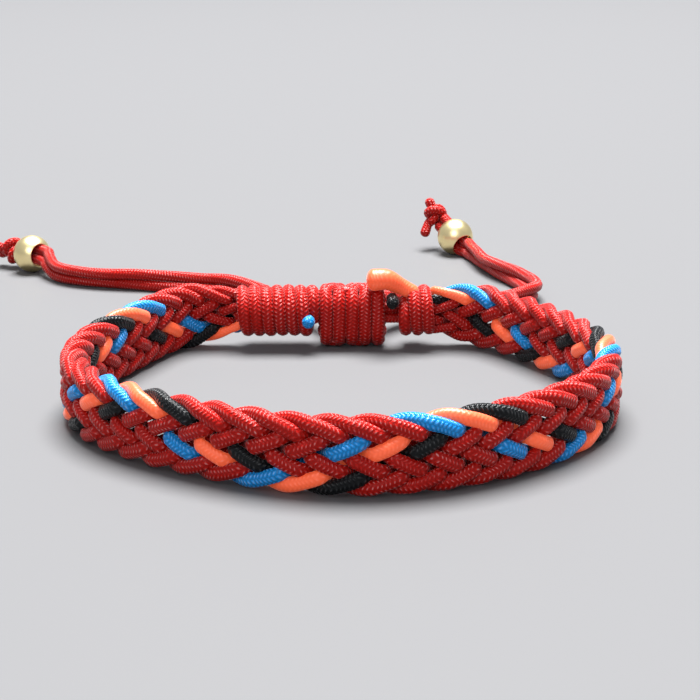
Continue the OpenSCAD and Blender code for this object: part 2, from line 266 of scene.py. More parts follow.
def eased_table(table, at, period):
    """Value of a repeating table at each place, eased from each row to the next."""
    rows = np.vstack([table[-1] - [period, 0], table, table[0] + [period, 0]])
    at = (at - rows[0, 0]) % period + rows[0, 0]
    row = np.clip(np.searchsorted(rows[:, 0], at, side="right") - 1, 0, len(rows) - 2)
    start, stop = rows[row], rows[row + 1]
    t = (at - start[:, 0]) / (stop[:, 0] - start[:, 0])
    return start[:, 1] + (stop[:, 1] - start[:, 1]) * ease(t)


def unit(v):
    """Each vector over its own length."""
    return v / np.linalg.norm(v, axis=-1, keepdims=True)


def wander(seed, along, wavelength):
    """A smooth stray between -1 and 1: the mean of sines with seeded phases and wavelengths."""
    sines = 4
    random = np.random.default_rng(seed)
    shift, stretch = random.uniform(0, 2 * np.pi, sines), random.uniform(0.6, 1.9, sines)
    return np.sin(2 * np.pi * along[:, None] / wavelength * stretch + shift).mean(axis=1)


def arc_length(path):
    """Way along a path from its first point to each of its points."""
    return np.concatenate([[0], np.cumsum(np.linalg.norm(np.diff(path, axis=0), axis=1))])


def smooth_path(points, step):
    """Points a step apart on the Catmull-Rom curve through the given points.

    Between two points the curve is a cubic in t whose end slopes are half the
    way from the point before to the point after. The curve is worked out finely
    and then divided evenly."""
    fine = 40
    p = np.asarray(points, float)
    p = np.vstack([2 * p[0] - p[1], p, 2 * p[-1] - p[-2]])
    t = np.linspace(0, 1, fine, endpoint=False)[:, None, None]
    a, b, c, d = p[:-3], p[1:-2], p[2:-1], p[3:]
    curve = b + 0.5 * t * (c - a + t * (2 * a - 5 * b + 4 * c - d + t * (3 * (b - c) + d - a)))
    curve = np.vstack([curve.transpose(1, 0, 2).reshape(-1, 3), p[-2]])
    arc = arc_length(curve)
    even = np.linspace(0, arc[-1], max(8, int(round(arc[-1] / step)) + 1))
    return np.stack([np.interp(even, arc, curve[:, i]) for i in range(3)], axis=1)


def ring_step(sheath):
    """Way from one ring of a cord's mesh to the next: a quarter of a yarn."""
    return sheath.yarn / 4


def sheath_height(turn, along, slant):
    """Height of the braided sheath from 0 in a groove to 1 on a yarn.

    The yarns lie in columns round the cord, and in every other column they
    slant the other way: a yarn's phase is the way along plus or minus the
    slant times the place in the column, and its height is a raised cosine of
    that phase times a cosine over the column."""
    column = np.floor(SHEATH_COLUMNS * turn)
    q = SHEATH_COLUMNS * turn - column - 0.5
    sign = 1 - 2 * (column % 2)
    phase = along + sign * slant * q + COLUMN_SHIFT * sign
    over = COLUMN_EDGE + (1 - COLUMN_EDGE) * np.cos(np.pi * q)
    return (0.5 + 0.5 * np.cos(2 * np.pi * phase)) * over


def rounded_ends(path, radius, rings):
    """The path with a round end at both ends, and the share of its radius at each point.

    The added points lie at the radius times the sine of an angle past the end,
    with the cosine as their share. The last angle stays short of the pole, so
    that the last ring is open."""
    angle = np.linspace(0, np.pi / 2, rings + 1)[1:]
    angle[-1] = math.radians(86)
    head, tail = unit(path[0] - path[1]), unit(path[-1] - path[-2])
    before = path[0] + radius * np.sin(angle)[::-1, None] * head
    after = path[-1] + radius * np.sin(angle)[:, None] * tail
    share = np.concatenate([np.cos(angle)[::-1], np.ones(len(path)), np.cos(angle)])
    return np.vstack([before, path, after]), share


def cord_tube(sheath, path, wide, deep, towards, sides=24, seed=0, end=0.6, relief=None):
    """A cord carried along a path, as a grid of points and its way along in yarns.

    A point of a ring is the path's point plus the cosine times the wide half
    axis and the sine times the deep half axis, and the yarns' height is added
    outwards. The deep axis is the given direction made square to the path. The
    round ends stand out by end times the deep half axis."""
    relief = sheath.relief if relief is None else relief
    n = len(path)
    wide, deep = np.broadcast_to(wide, n).astype(float), np.broadcast_to(deep, n).astype(float)
    end_rings = 5
    path, share = rounded_ends(path, end * deep.mean(), end_rings)
    wide, deep = (np.pad(x, end_rings, mode="edge") * share for x in (wide, deep))
    towards = np.pad(np.broadcast_to(towards, (n, 3)), ((end_rings, end_rings), (0, 0)), mode="edge")
    along = unit(np.gradient(path, axis=0))
    out = unit(towards - (towards * along).sum(axis=1, keepdims=True) * along)
    side = np.cross(out, along)
    arc = arc_length(path)
    turn = (np.arange(sides) + 0.5) / sides
    height = sheath_height(turn[None, :], arc[:, None] / sheath.yarn, sheath.slant)
    lift = relief * share[:, None] * height
    sheath_start = 0.37 * seed
    angle = 2 * np.pi * (turn[None, :] + arc[:, None] / sheath.twist + sheath_start)
    across = np.cos(angle) * (wide[:, None] + lift)
    outward = np.sin(angle) * (deep[:, None] + lift)
    grid = path[:, None] + across[..., None] * side[:, None] + outward[..., None] * out[:, None]
    return grid, arc / sheath.yarn


def round_tube(path, radius, towards, sheath, seed, **more):
    """A round cord along a path."""
    return cord_tube(sheath, path, radius, radius, towards, seed=seed, **more)


def tube_faces(rows, sides, first):
    """Corner numbers of a closed tube's faces: its quads, then a fan at each pole."""
    ring = first + np.arange(rows * sides).reshape(rows, sides)
    near, far = ring[:-1], ring[1:]
    quads = np.stack([near, np.roll(near, -1, 1), np.roll(far, -1, 1), far], axis=-1).reshape(-1, 4)
    pole = first + rows * sides
    start = np.stack([np.roll(ring[0], -1), ring[0], np.full(sides, pole)], axis=-1)
    stop = np.stack([ring[-1], np.roll(ring[-1], -1), np.full(sides, pole + 1)], axis=-1)
    return quads, np.vstack([start, stop])


def tube_map(along, sides):
    """UV of the corners of a closed tube's faces, in their order in tube_faces.

    U is the way along in yarns and V is the share of a turn."""
    step = 1 / sides
    u = np.broadcast_to(along[:, None], (len(along), sides))
    v = np.broadcast_to((np.arange(sides) + 0.5) / sides, (len(along), sides))
    quad_u = np.stack([u[:-1], u[:-1], u[1:], u[1:]], axis=-1)
    quad_v = np.stack([v[:-1], v[:-1] + step, v[1:] + step, v[1:]], axis=-1)
    fan_u = np.repeat(along[[0, -1]], 3 * sides)
    start_v = np.stack([v[0] + step, v[0], v[0]], axis=-1)
    stop_v = np.stack([v[0], v[0] + step, v[0]], axis=-1)
    fan_v = np.vstack([start_v, stop_v])
    quads = np.column_stack([quad_u.ravel(), quad_v.ravel()])
    return np.vstack([quads, np.column_stack([fan_u, fan_v.ravel()])])


def tube_piece(name, tubes, material):
    """One mesh object of closed tubes, with a UV map of yarns along and turns round.

    Each tube is a grid of rings and the way along of each ring. The end rings
    are closed by a fan round their middle."""
    points, corners, counts, maps = [], [], [], []
    first = 0
    for grid, along in tubes:
        rows, sides = grid.shape[:2]
        quads, fans = tube_faces(rows, sides, first)
        points += [grid.reshape(-1, 3), grid[0].mean(axis=0)[None], grid[-1].mean(axis=0)[None]]
        corners += [quads.ravel(), fans.ravel()]
        counts += [np.full(len(quads), 4), np.full(len(fans), 3)]
        maps.append(tube_map(along, sides))
        first += rows * sides + 2
    whole = [np.concatenate(part) for part in (points, corners, counts, maps)]
    return mesh_piece(name, *whole, material)


def mesh_piece(name, points, corners, counts, uv, material):
    """A smooth mesh object from whole arrays: its points, its faces' corners,
    the number of corners of each face, and the corners' UV."""
    mesh = bpy.data.meshes.new(name)
    mesh.vertices.add(len(points))
    mesh.vertices.foreach_set("co", np.asarray(points, np.float32).ravel())
    mesh.loops.add(len(corners))
    mesh.loops.foreach_set("vertex_index", np.asarray(corners, np.int32))
    mesh.polygons.add(len(counts))
    starts = np.concatenate([[0], np.cumsum(counts)[:-1]])
    mesh.polygons.foreach_set("loop_start", starts.astype(np.int32))
    mesh.polygons.foreach_set("use_smooth", np.ones(len(counts), bool))
    layer = mesh.uv_layers.new(name="Sheath")
    layer.data.foreach_set("uv", np.asarray(uv, np.float32).ravel())
    mesh.update(calc_edges=True)
    mesh.validate()
    piece = bpy.data.objects.new(name, mesh)
    bpy.context.scene.collection.objects.link(piece)
    mesh.materials.append(material)
    return piece


def hand_in(piece, node):
    """Lets the piece ride on the bracelet and replaces its solid."""
    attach(piece, "root")
    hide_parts(node)


def cord_piece(name, tubes, colour_name, node):
    """A piece of cord in one of the cords' colours, which stands for a node."""
    piece = tube_piece(name, tubes, finish(f"{colour_name.title()} Cord"))
    hand_in(piece, node)
    return piece


def loop_curve(band):
    """Arc length, points and outward directions round the loop, from its front.

    At an angle from the front the radius is the loop radius times one plus the
    waves. The distance to the back, y, is pressed flat at the closure: y minus
    the turn length times the log of one plus the exponential of how many turn
    lengths y lies past the closure. The middle of the band and its closure then
    moves to the origin."""
    steps_per_degree = 8
    angle = np.radians(np.linspace(0, 360, 360 * steps_per_degree + 1))
    waves = LOOP_WAVES[:, :1] * angle
    swing = LOOP_WAVES[:, 1:2] * np.cos(waves) + LOOP_WAVES[:, 2:] * np.sin(waves)
    radius = band.loop_radius * (1 + swing.sum(axis=0))
    x, y = radius * np.sin(angle), -radius * np.cos(angle)
    past = (y - band.closure_distance) / band.turn_length
    y = y - band.turn_length * np.log1p(np.exp(past))
    arc = np.concatenate([[0], np.cumsum(np.hypot(np.diff(x), np.diff(y)))])
    x = x - (x.max() + x.min()) / 2
    y = y + node_middle("whipping_left")[1] - band.closure_distance
    slope = np.stack([np.gradient(x), np.gradient(y)], axis=1)
    slope[0] = slope[-1] = (slope[0] + slope[-1]) / 2
    slope = unit(slope)
    return arc, np.stack([x, y], axis=1), np.stack([slope[:, 1], -slope[:, 0]], axis=1)


def closure_arc(arc, points, x):
    """Arc length at which the back of the loop passes a place along X."""
    back = np.abs(arc - arc[-1] / 2) < arc[-1] / 5
    order = np.argsort(-points[back, 0])
    return np.interp(-x, -points[back, 0][order], arc[back][order])


def drawn_out(band, s):
    """Way by which the plait is moved along the band, at an arc length.

    It is the drawn length times t over one plus t squared, where t is the way
    from the still place over the reach. The second round takes it at the place
    that the plait was moved from."""
    shift = 0
    for _ in range(2):
        t = (s - shift - DRAWN_FROM) / DRAWN_REACH
        shift = band.drawn * t / (1 + t * t)
    return shift


def plait_height(place, crossings):
    """Height of a plaited cord from -1 to 1, at a place in crossings.

    It is a triangle wave whose peaks, at the band's edges, are rounded by a
    hyperbola."""
    round_off = 0.25
    m = place % crossings
    x = 2 * np.minimum(m, crossings - m) / crossings
    h = 1 - (np.hypot(x, round_off) - round_off) / (math.hypot(1, round_off) - round_off)
    turn = (place / (2 * crossings)) % 1
    return np.where((turn < 0.25) | (turn >= 0.75), h, -h)


def plait_cord(band, sheath, number, relief):
    """One cord of the plait as a tube.

    Its place in crossings grows evenly with the arc length along the band. The
    place gives its height, its way out of the middle layer and its plumpness.
    Towards a whipped end, the eased gather narrows all cords to the whipped
    end's core and lifts them to its middle."""
    seed = number + 1
    spacing = CORD_SPACING * band.cord
    pitch = CORDS * spacing / math.sin(band.lay_angle)
    rise = PRESSED_IN * CORDS * spacing / (2 * math.cos(band.lay_angle))
    arc, points, outward = loop_curve(band)
    start = closure_arc(arc, points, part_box("whipping_left")[0][0]) - arc[-1]
    stop = closure_arc(arc, points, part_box("whipping_right")[1][0])
    tuck = band.cord
    s = np.arange(start - tuck, stop + tuck, ring_step(sheath))
    place = 2 * CORDS * (s - drawn_out(band, s) - band.blue_top) / pitch - 2 * number
    gathered = ease(1 - np.minimum(s - start, stop - s) / band.gather)
    past = np.clip(np.maximum(start - s, s - stop) / tuck, 0, 1)
    way_out = eased_table(WAY_OUT, place, CORDS)
    plump = eased_table(PLUMPNESS, place, CORDS)
    stray = band.unevenness * (1 - gathered)

    band_z = rise / 2 + band.wide + sheath.relief + FLOOR_ROOM
    whip_z = node_middle("whipping_left")[2]
    whip_rise = node_size("whipping_left")[2] - band.cord
    height = (rise * (1 - gathered) + whip_rise * gathered) * (1 - TUCK_DROP * past) / 2
    z = plait_height(place, CORDS) * height + band_z * (1 - gathered) + whip_z * gathered
    z = z + stray * wander(seed + 20, s, HEIGHT_WAVE)

    wrapped = np.where(s < 0, s + arc[-1], s)
    xy = np.stack([np.interp(wrapped, arc, points[:, i]) for i in range(2)], axis=1)
    out = unit(np.stack([np.interp(wrapped, arc, outward[:, i]) for i in range(2)], axis=1))
    depth = way_out * band.layer * (1 + GATHER_OUT * gathered)
    depth = depth + DEPTH_SHARE * stray * wander(seed, s, DEPTH_WAVE)
    path = np.column_stack([xy + depth[:, None] * out, z])

    thin = 1 - GATHER_THIN * gathered
    swell = 1 + SWELL_SHARE * wander(seed + 40, s, SWELL_WAVE)
    wide = (band.pinched_wide + (band.wide - band.pinched_wide) * plump) * thin * swell
    deep = (band.pinched_deep + (band.deep - band.pinched_deep) * plump) * thin * swell
    towards = np.column_stack([out, np.zeros(len(s))])
    return cord_tube(sheath, path, wide, deep, towards, seed=seed, relief=relief)


class Nodes:
    """A short way to add and join shader nodes."""

    def __init__(self, tree):
        self.tree = tree

    def add(self, kind, inputs=None, **settings):
        """Adds a node. Inputs are sockets to join or plain values to set."""
        node = self.tree.nodes.new(kind)
        for key, value in settings.items():
            setattr(node, key, value)
        for key, value in (inputs or {}).items():
            if isinstance(value, bpy.types.NodeSocket):
                self.tree.links.new(value, node.inputs[key])
            else:
                node.inputs[key].default_value = value
        return node

    def math(self, operation, a, b=0.0, c=0.0):
        """The result of one Math node."""
        node = self.add("ShaderNodeMath", {0: a, 1: b, 2: c}, operation=operation)
        return node.outputs[0]

    def noise(self, scale, detail):
        """Noise between 0 and 1 over the piece's own coordinates."""
        place = self.add("ShaderNodeTexCoord").outputs["Object"]
        node = self.add("ShaderNodeTexNoise", {"Vector": place, "Scale": scale, "Detail": detail})
        return node.outputs["Fac"]

    def smooth_step(self, value, low, high, start=0.0, stop=1.0):
        """Goes smoothly from start to stop while the value goes from low to high."""
        limits = {"Value": value, "From Min": low, "From Max": high, "To Min": start, "To Max": stop}
        node = self.add("ShaderNodeMapRange", limits, interpolation_type="SMOOTHSTEP")
        return node.outputs[0]

    def mix(self, share, first, second):
        """A colour that goes from the first to the second with the share.

        Sockets 0, 6 and 7 are the share and the two colours, and 2 is the result."""
        node = self.add("ShaderNodeMix", {0: share, 6: first, 7: second}, data_type="RGBA")
        return node.outputs[2]


def sheath_group():
    """Node group for the braided sheath: the yarns' height, and masks of filaments and grooves.

    It follows the formula of sheath_height, with a little noise in the phase."""
    if "Braided Sheath" in bpy.data.node_groups:
        return bpy.data.node_groups["Braided Sheath"]
    group = bpy.data.node_groups.new("Braided Sheath", "ShaderNodeTree")
    for name, default in (("Slant", 0.6), ("Filaments", FILAMENTS), ("Fray", FRAY)):
        socket = group.interface.new_socket(name=name, in_out="INPUT", socket_type="NodeSocketFloat")
        socket.default_value = default
    for name in ("Yarn", "Filament", "Groove"):
        group.interface.new_socket(name=name, in_out="OUTPUT", socket_type="NodeSocketFloat")
    n = Nodes(group)
    inputs = n.add("NodeGroupInput").outputs
    outputs = n.add("NodeGroupOutput").inputs
    uv = n.add("ShaderNodeUVMap", uv_map="Sheath")
    split = n.add("ShaderNodeSeparateXYZ", {0: uv.outputs[0]}).outputs
    turn = n.math("MULTIPLY", split["Y"], SHEATH_COLUMNS)
    column = n.math("FLOOR", turn)
    q = n.math("SUBTRACT", n.math("SUBTRACT", turn, column), 0.5)
    odd = n.math("FLOORED_MODULO", column, 2.0)
    sign = n.math("SUBTRACT", 1.0, n.math("MULTIPLY", odd, 2.0))
    slant = n.math("MULTIPLY", n.math("MULTIPLY", sign, inputs["Slant"]), q)
    stray = n.math("SUBTRACT", n.noise(scale=900.0, detail=2.0), 0.5)
    phase = n.math("ADD", n.math("ADD", split["X"], slant), n.math("MULTIPLY", sign, COLUMN_SHIFT))
    phase = n.math("ADD", phase, n.math("MULTIPLY", stray, inputs["Fray"]))
    wave = n.math("COSINE", n.math("MULTIPLY", phase, 2 * math.pi))
    ridge = n.math("MULTIPLY_ADD", wave, 0.5, 0.5)
    arch = n.math("COSINE", n.math("MULTIPLY", q, math.pi))
    over = n.math("MULTIPLY_ADD", arch, 1 - COLUMN_EDGE, COLUMN_EDGE)
    yarn = n.math("MULTIPLY", ridge, over)
    fine_phase = n.math("MULTIPLY", phase, inputs["Filaments"])
    fine_wave = n.math("COSINE", n.math("MULTIPLY", fine_phase, 2 * math.pi))
    filament = n.math("MULTIPLY_ADD", fine_wave, 0.5, 0.5)
    groove = n.smooth_step(yarn, 0.0, 0.55, start=1.0, stop=0.0)
    for name, mask in (("Yarn", yarn), ("Filament", filament), ("Groove", groove)):
        group.links.new(mask, outputs[name])
    return group


def opaque(rgb):
    """A colour with full alpha."""
    return (*rgb, 1.0)


def new_material(name):
    """A new material and its empty node tree."""
    material = bpy.data.materials.new(name)
    material.use_nodes = True
    material.node_tree.nodes.clear()
    return material, Nodes(material.node_tree)


def cord_material(name, base, groove, wear_and_highlight_amount, rough, bump, glow, sheen, gloss):
    """A braided cord's finish: painted shade in the grooves, painted highlights on the yarns' crests,
    sheen, and bump from the sheath.
    """
    material, n = new_material(name)
    base = np.array(base)
    # Colours of the painted shade in the grooves and of the paler painted highlights on the yarns' crests
    painted_groove_shade, pale = base * groove, base + (1 - base) * wear_and_highlight_amount
    sheath_values = {"Slant": sizes()[1].slant, "Filaments": FILAMENTS, "Fray": FRAY}
    sheath = n.add("ShaderNodeGroup", sheath_values, node_tree=sheath_group()).outputs
    patches = n.noise(scale=260.0, detail=3.0)
    contrast, threshold = 2.4, -0.7
    # Painted highlights: on the yarns' crests, in noise patches, the colour is mixed towards a paler one
    # that stands in for glints of light
    highlight_crests = n.smooth_step(sheath["Yarn"], 0.7, 1.0)
    wear_and_highlight = n.math("MULTIPLY", highlight_crests, n.math("MULTIPLY_ADD", patches, contrast, threshold))
    shade = n.mix(wear_and_highlight, opaque(base), opaque(pale))
    # Painted shade: in the grooves between the yarns the colour is darkened to the given share
    shade = n.mix(sheath["Groove"], shade, opaque(painted_groove_shade))
    uneven = 0.2
    roughness = n.math("MULTIPLY_ADD", patches, uneven, rough - uneven / 2)
    filament_height = 0.12
    height = n.math("MULTIPLY_ADD", sheath["Filament"], filament_height, sheath["Yarn"])
    relief = n.add("ShaderNodeBump", {"Strength": 1.0, "Distance": bump, "Height": height})
    shader = n.add(
        "ShaderNodeBsdfPrincipled",
        {
            "Base Color": shade,
            "Emission Color": shade,
            "Emission Strength": glow,
            "Roughness": roughness,
            "Normal": relief.outputs[0],
            "Specular IOR Level": gloss,
            "Sheen Weight": sheen,
            "Sheen Roughness": 0.3,
            "Sheen Tint": opaque((base + 1) / 2),
        },
    )
    n.add("ShaderNodeOutputMaterial", {"Surface": shader.outputs[0]})
    return material


def gold_material(name, base):
    """Polished gold-coloured metal, faintly rubbed: duller and rougher in noise patches."""
    material, n = new_material(name)
    dulled, polished, wear_and_highlight_amount = 0.92, 0.24, 0.14
    wear_and_highlight = n.noise(scale=700.0, detail=4.0)
    shade = n.mix(wear_and_highlight, opaque(np.array(base) * dulled), opaque(base))
    roughness = n.math("MULTIPLY_ADD", wear_and_highlight, wear_and_highlight_amount, polished)
    scratches = n.noise(scale=4000.0, detail=2.0)
    relief = n.add("ShaderNodeBump", {"Strength": 0.2, "Distance": 0.03 * MM, "Height": scratches})
    shader = n.add(
        "ShaderNodeBsdfPrincipled",
        {"Base Color": shade, "Metallic": 1.0, "Roughness": roughness, "Normal": relief.outputs[0]},
    )
    n.add("ShaderNodeOutputMaterial", {"Surface": shader.outputs[0]})
    return material


def finish(name):
    """The material of that name, made on first use."""
    if name in bpy.data.materials:
        return bpy.data.materials[name]
    colours = bpy.context.scene.bracelet_colours
    if name == "Polished Gold":
        return gold_material(name, colours.gold)
    base = getattr(colours, name.split()[0].lower())
    return cord_material(name, base, **CORD_LOOKS[name])


def sizes():
    """The band's and the sheath's sizes."""
    scene = bpy.context.scene
    return scene.bracelet_band, scene.bracelet_sheath


def core_tube(x, place, band, sheath, seed):
    """A straight cord along X, at a place in Y and Z, inside wound or tied cord."""
    path = np.column_stack([x, np.full(len(x), place[0]), np.full(len(x), place[1])])
    return round_tube(path, CORE_RADIUS * band.cord, UP, sheath, seed, sides=CORE_SIDES)


def whipping_tubes(node, band, sheath, seed):
    """Cord wound round a whipped end, and the core inside it.

    The wound cord is a helix round the X axis: its way along X grows evenly
    with its angle, and at both ends its radius shrinks so that it tucks in."""
    low, high = node_corners(node)
    middle, cord = (low + high) / 2, band.cord
    radius = (high[2] - low[2] - cord) / 2
    wide, deep = 0.5 * cord, 0.47 * cord
    turn_pitch = 0.96 * cord
    first, last = low[0] + cord / 2, high[0] - cord / 2
    turns = (last - first) / turn_pitch
    tuck_turns, tuck_depth, end_drift = 0.35, 0.75 * cord, 0.1
    x_stray, x_wave = 0.05 * MM, 0.7
    r_stray, r_wave = 0.06 * MM, 0.9
    steps = int((turns + 2 * tuck_turns) * 2 * np.pi * radius / ring_step(sheath))
    t = np.linspace(-tuck_turns, turns + tuck_turns, steps)
    past = np.maximum(-t, t - turns) / tuck_turns
    x = first + np.clip(t, -end_drift, turns + end_drift) * turn_pitch
    x = x + x_stray * wander(seed, t, x_wave)
    r = radius - tuck_depth * ease(past) + r_stray * wander(seed + 1, t, r_wave)
    first_angle = 0.8 * seed
    angle = 2 * np.pi * t + first_angle
    path = np.column_stack([x, middle[1] + r * np.cos(angle), middle[2] + r * np.sin(angle)])
    outward = np.column_stack([np.zeros(steps), np.cos(angle), np.sin(angle)])
    tubes = [cord_tube(sheath, path, wide, deep, outward, seed=seed)]
    core_reach, core_offset, core_rings = 0.3 * cord, 0.62 * cord, 60
    ends = np.linspace(first - core_reach, last + core_reach, core_rings)
    for i in range(4):
        a = np.pi / 4 + i * np.pi / 2
        place = middle[1:] + core_offset * np.array([np.cos(a), np.sin(a)])
        tubes.append(core_tube(ends, place, band, sheath, seed + i))
    return tubes


def knot_route(face, bars, size, cord):
    """One cord of the sliding knot as chosen points, round the knot's middle.

    On its own face the cord crosses the knot in straight bars, up and down in
    turn. At the edge between two bars it goes over to the other face and round
    the other cord, which does the same from there. Both of its ends go over the
    knot's edge and tuck in."""
    high = (size[2] - cord) / 2
    deep = (size[1] - cord) / 2
    pitch = (size[0] - cord) / (bars - 1)
    points = []
    for j in range(bars):
        rows = [KNOT_BAR, KNOT_OVER if j < bars - 1 else KNOT_END]
        if j == 0:
            rows.insert(0, KNOT_START)
        turned = face * (1 - 2 * (j % 2))
        place = [(j - (bars - 1) / 2) * pitch, 0, 0]
        points.append(place + np.vstack(rows) * [pitch, face * deep, turned * high])
    return np.vstack(points)


def knot_tubes(band, sheath):
    """The sliding knot: two cords that tie bars round four straight cords."""
    cord, bars, straight_cords = band.cord, 5, 4
    middle, size = node_middle("sliding_knot"), node_size("sliding_knot")
    room, wide, deep = 1.16 * cord, 0.53 * cord, 0.48 * cord
    tubes = []
    for seed, face in ((3, -1), (8, 1)):
        path = middle + smooth_path(knot_route(face, bars, size, room), ring_step(sheath))
        outward = path - middle
        outward[:, 0] = 0
        tubes.append(cord_tube(sheath, path, wide, deep, outward, seed=seed))
    core_reach, core_apart, core_rings = 0.47, 0.93, 70
    ends = middle[0] + np.linspace(-core_reach, core_reach, core_rings) * size[0]
    for i in range(straight_cords):
        lift = core_apart * (i - (straight_cords - 1) / 2) * cord
        tubes.append(core_tube(ends, middle[1:] + [0, lift], band, sheath, 11 + i))
    return tubes


def tie_tubes(node, sheath, seed):
    """The two tie cords, squeezed together one above the other, along a tie's box.

    The pair's lean from upright grows evenly from one end of the box to the other."""
    low, high = node_corners(node)
    middle, radius = (low + high) / 2, (high[2] - low[2]) / 4
    lean_change, middle_lean, swell = 0.6, 0.2, 1.04
    x = np.arange(low[0] + radius, high[0] - radius, ring_step(sheath))
    lean = lean_change * (x - middle[0]) / (high[0] - low[0]) + middle_lean
    tubes = []
    for side in (-1, 1):
        y = middle[1] + side * radius * np.sin(lean)
        z = middle[2] + side * radius * np.cos(lean)
        path = np.column_stack([x, y, z])
        tubes.append(round_tube(path, swell * radius, UP, sheath, seed + side))
    return tubes


def stub_tube(route, radius, tip, sheath, seed, swell=2.2, flat=1.0, end=1.0, relief=None):
    """A cut cord end along a route: the radius swells to the melted tip, which may be flattened.

    The swelling is eased over the route's last stretch, as long as swell tips."""
    path = smooth_path(route, ring_step(sheath))
    left = np.linspace(1, 0, len(path)) * arc_length(path)[-1]
    swollen = ease(1 - left / (swell * tip))
    wide = radius + (tip - radius) * swollen
    deep = radius + (flat * tip - radius) * swollen
    return cord_tube(sheath, path, wide, deep, ASKEW, seed=seed, end=end, relief=relief)


def tail_centre(route):
    """The middle of a tail's two cords as points, and the way along it to each."""
    path = smooth_path(np.array(route) * MM, TAIL_STEP)
    return path, arc_length(path)


def tail_tubes(route, band, sheath, seed):
    """The two cords of a tail, laid together along its route.

    One cord lies over the other and leans a little to each side in turn: the
    lean is a sine of the arc length. The lower cord never goes under the floor,
    and where the tail lies low it settles onto it."""
    path, arc = tail_centre(route)
    radius, slimmer = band.cord / 2, 0.98
    swing, swing_wave = 0.5, 27 * MM
    stray, stray_wave = 0.2, 14 * MM
    low_below, low_over = 1.6 * MM, 0.8 * MM
    lean = swing * np.sin(2 * np.pi * arc / swing_wave + seed) + stray * wander(seed, arc, stray_wave)
    along = unit(np.gradient(path, axis=0))
    level = unit(np.cross(along, UP))
    offset = radius * (np.sin(lean)[:, None] * level + np.cos(lean)[:, None] * np.cross(level, along))
    settled = 1 - ease((path[:, 2] - low_below) / low_over)
    rest = radius + sheath.relief + np.abs(offset[:, 2])
    lift = np.where(path[:, 2] < rest, rest - path[:, 2], settled * (rest - path[:, 2]))
    path = path + lift[:, None] * UP
    return [
        round_tube(path + side * offset, slimmer * radius, UP, sheath, seed + side) for side in (-1, 1)
    ]


def lathe_piece(name, middle, axis, outline, sides, material):
    """A closed ring turned round an axis through its middle.

    The outline is a closed line of radius and height; each point goes round
    the axis in a circle."""
    axis = unit(np.asarray(axis, float))
    side = unit(np.cross(axis, ASKEW))
    other = np.cross(axis, side)
    angle = 2 * np.pi * np.arange(sides) / sides
    ring = np.cos(angle)[:, None] * side + np.sin(angle)[:, None] * other
    grid = middle + outline[:, None, :1] * ring[None] + outline[:, None, 1:] * axis
    rows = len(outline)
    index = np.arange(rows * sides).reshape(rows, sides)
    far = np.roll(index, -1, 0)
    quads = np.stack([index, far, np.roll(far, -1, 1), np.roll(index, -1, 1)], axis=-1).reshape(-1, 4)
    u, v = np.meshgrid(np.arange(sides) / sides, np.arange(rows) / rows)
    corner_u = np.stack([u, u, u + 1 / sides, u + 1 / sides], axis=-1)
    corner_v = np.stack([v, v + 1 / rows, v + 1 / rows, v], axis=-1)
    uv = np.column_stack([corner_u.ravel(), corner_v.ravel()])
    return mesh_piece(name, grid.reshape(-1, 3), quads.ravel(), np.full(len(quads), 4), uv, material)


def bead_outline(radius, bore):
    """Radius and height of a drilled bead's outline: the sphere's arc, a bevelled rim and the bore."""
    rim, arc_points, bore_points = 0.12 * MM, 60, 24
    top = math.acos((bore + rim) / radius)
    arc = np.linspace(-top, top, arc_points)
    ball = np.column_stack([radius * np.cos(arc), radius * np.sin(arc)])
    inner = ball[-1, 1] - rim
    hole = np.column_stack([np.full(bore_points, bore), inner * np.linspace(1, -1, bore_points)])
    return np.vstack([ball, hole])


def end_knot_tubes(route, tips, sheath, seed):
    """The knot at a tail's end: a cord laid in a trefoil, and two cut tips.

    The trefoil runs twice round the axis while it goes in and out three times.
    Its radius is the mean radius plus the cosine of three times the angle, and
    its height follows the sine."""
    route = np.array(route) * MM
    axis = unit(route[-1] - route[-2])
    level = unit(np.cross(axis, UP))
    up = np.cross(level, axis)
    past_tail, tight_cord, rings = 1.7 * MM, 0.62 * MM, 260
    middle = route[-1] + past_tail * axis
    t = np.linspace(0, 2 * np.pi, rings)
    mean_radius, swing, rise = 0.98 * MM, 0.48 * MM, 0.78 * MM
    r = mean_radius + swing * np.cos(3 * t)
    path = middle + (r * np.cos(2 * t))[:, None] * level + (r * np.sin(2 * t))[:, None] * up
    path = path + (rise * np.sin(3 * t))[:, None] * axis
    tubes = [round_tube(path, tight_cord, path - middle, sheath, seed)]
    apart, bulge, tip_cord, melted = 0.3 * MM, 0.3 * MM, 0.66 * MM, 0.74 * MM
    for side, way in zip((-1, 1), tips):
        root = middle + side * apart * level
        tip = middle + np.array(way) * MM
        bend = (root + tip) / 2 + bulge * axis
        tubes.append(stub_tube([root, bend, tip], tip_cord, melted, sheath, seed + side))
    return tubes


